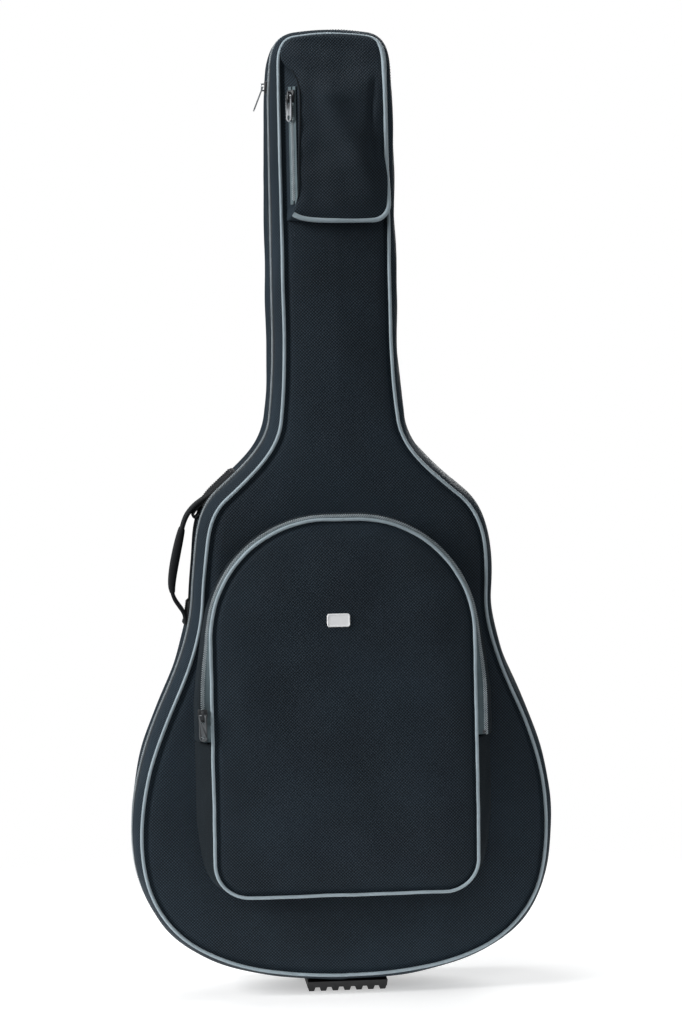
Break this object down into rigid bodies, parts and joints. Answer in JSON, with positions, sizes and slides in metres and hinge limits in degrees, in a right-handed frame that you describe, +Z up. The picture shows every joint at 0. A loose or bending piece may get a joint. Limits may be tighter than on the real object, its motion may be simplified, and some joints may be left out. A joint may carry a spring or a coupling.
{
  "type": "padded guitar gig bag",
  "caption": "Upright padded gig bag for an acoustic guitar, with a zipped front lid, an arched front pocket, a head pocket, a side handle, shoulder straps and a ribbed rubber foot.",
  "frame": {"origin": "centre of the rubber foot's lower face, on the bag's mid-depth plane", "axes": "+Z up along the bag's height, -Y towards the front with the pockets, +X to the viewer's right when facing the front"},
  "size_m": [0.4874, 0.1811, 1.1044],
  "materials": {
    "shell_cloth": "matte coated polyester cloth with a fine diagonal weave, dark blue-black",
    "black_cloth": "matte black nylon cloth",
    "foam": "closed-cell padding foam, pale grey",
    "lining_cloth": "thin brushed lining cloth, black",
    "piping": "satin light grey-blue piping",
    "zip_tape": "woven zip tape, grey with a blue-green tint",
    "zip_coil": "nylon coil teeth, dark grey",
    "zip_metal": "black nickel plate, worn bright at the edges",
    "webbing": "woven polypropylene webbing, black",
    "buckle": "moulded acetal, satin black",
    "rubber": "moulded rubber, matte black",
    "label": "blank moulded label, off-white"
  },
  "bodies": {
    "rear_shell": {"back_panel": "shell_cloth", "back_foam": "foam", "back_lining": "lining_cloth", "rear_gusset": "shell_cloth", "rear_gusset_foam": "foam", "rear_gusset_lining": "lining_cloth", "rear_piping": "piping", "rear_zip_tape": "zip_tape", "rear_zip_teeth": "zip_coil", "zip_stops": "zip_metal", "hinge_panel": "shell_cloth", "foot_bumper": "rubber", "handle_anchor_upper": "webbing", "handle_anchor_lower": "webbing", "back_yoke": "shell_cloth", "strap_anchors": "shell_cloth", "loop_patch": "webbing", "neck_cradle": "lining_cloth", "neck_strap": "webbing", "endpin_pad": "lining_cloth", "head_pad": "lining_cloth"},
    "lid": {"front_panel": "shell_cloth", "front_foam": "foam", "front_lining": "lining_cloth", "front_gusset": "shell_cloth", "front_gusset_foam": "foam", "front_gusset_lining": "lining_cloth", "front_piping": "piping", "front_zip_tape": "zip_tape", "front_zip_teeth": "zip_coil", "pouch_panel": "shell_cloth", "pouch_gusset": "black_cloth", "pouch_piping": "piping", "arch_gusset": "black_cloth", "arch_zip_tape": "zip_tape", "arch_zip_teeth": "zip_coil", "arch_zip_stops": "zip_metal", "head_pocket": "shell_cloth", "head_pocket_piping": "piping", "head_zip_tape": "zip_tape", "head_zip_teeth": "zip_coil"},
    "pocket_flap": {"flap_panel": "shell_cloth", "flap_piping": "piping", "flap_zip_tape": "zip_tape", "flap_zip_teeth": "zip_coil", "label_patch": "label"},
    "main_slider": {"main_slider": "zip_metal"},
    "main_pull": {"main_pull": "zip_metal"},
    "pocket_slider": {"pocket_slider": "zip_metal"},
    "pocket_pull": {"pocket_pull": "zip_metal"},
    "head_slider": {"head_slider": "zip_metal"},
    "head_pull": {"head_pull": "zip_metal"},
    "handle": {"handle": "webbing"},
    "strap_left": {"strap_pad_left": "shell_cloth", "strap_webbing_left": "webbing", "ladder_lock_left": "buckle"},
    "strap_right": {"strap_pad_right": "shell_cloth", "strap_webbing_right": "webbing", "ladder_lock_right": "buckle"},
    "hang_loop": {"hang_loop": "webbing"}
  },
  "joints": [
    {"name": "lid_hinge", "type": "hinge", "parent": "rear_shell", "child": "lid", "pos_m": [0.2437, 0, 0.1845], "axis": [0, 0, 1], "range_deg": [0, 150]},
    {"name": "pocket_flap_fold", "type": "hinge", "parent": "lid", "child": "pocket_flap", "pos_m": [-0.0025, -0.1013, 0.3], "axis": [1, 0, 0], "range_deg": [0, 115]},
    {"name": "main_slider_travel", "type": "slide", "parent": "rear_shell", "child": "main_slider", "axis": [0, 0, -1], "range_m": [0, 0.26]},
    {"name": "main_pull_swing", "type": "hinge", "parent": "main_slider", "child": "main_pull", "pos_m": [-0.0757, 0.0062, 1.03831], "axis": [0, 1, 0], "range_deg": [0, 120]},
    {"name": "pocket_slider_travel", "type": "slide", "parent": "lid", "child": "pocket_slider", "axis": [0, 0.0644, 0.9979], "range_m": [0, 0.075]},
    {"name": "pocket_pull_swing", "type": "hinge", "parent": "pocket_slider", "child": "pocket_pull", "pos_m": [-0.1628, -0.10219, 0.33294], "axis": [-1, 0, 0], "range_deg": [0, 140]},
    {"name": "head_slider_travel", "type": "slide", "parent": "lid", "child": "head_slider", "axis": [0, -0.0622, -0.9981], "range_m": [0, 0.105]},
    {"name": "head_pull_swing", "type": "hinge", "parent": "head_slider", "child": "head_pull", "pos_m": [-0.05036, -0.05284, 1.02485], "axis": [-0.6, 0.7985, -0.0497], "range_deg": [0, 140]},
    {"name": "handle_swing", "type": "hinge", "parent": "rear_shell", "child": "handle", "pos_m": [-0.1865, 0.03, 0.4555], "axis": [0.1552, 0, 0.9879], "range_deg": [-30, 30], "stiffness_Nm_per_rad": 0.15},
    {"name": "strap_left_swing", "type": "hinge", "parent": "rear_shell", "child": "strap_left", "pos_m": [-0.117, 0.0653, 0.15], "axis": [-0.2048, 0, -0.9788], "range_deg": [0, 70]},
    {"name": "strap_right_swing", "type": "hinge", "parent": "rear_shell", "child": "strap_right", "pos_m": [0.117, 0.0653, 0.15], "axis": [-0.2048, 0, 0.9788], "range_deg": [0, 70]},
    {"name": "hang_loop_swing", "type": "hinge", "parent": "rear_shell", "child": "hang_loop", "pos_m": [0, 0.05505, 1.057], "axis": [1, 0, 0], "range_deg": [0, 120]}
  ]
}
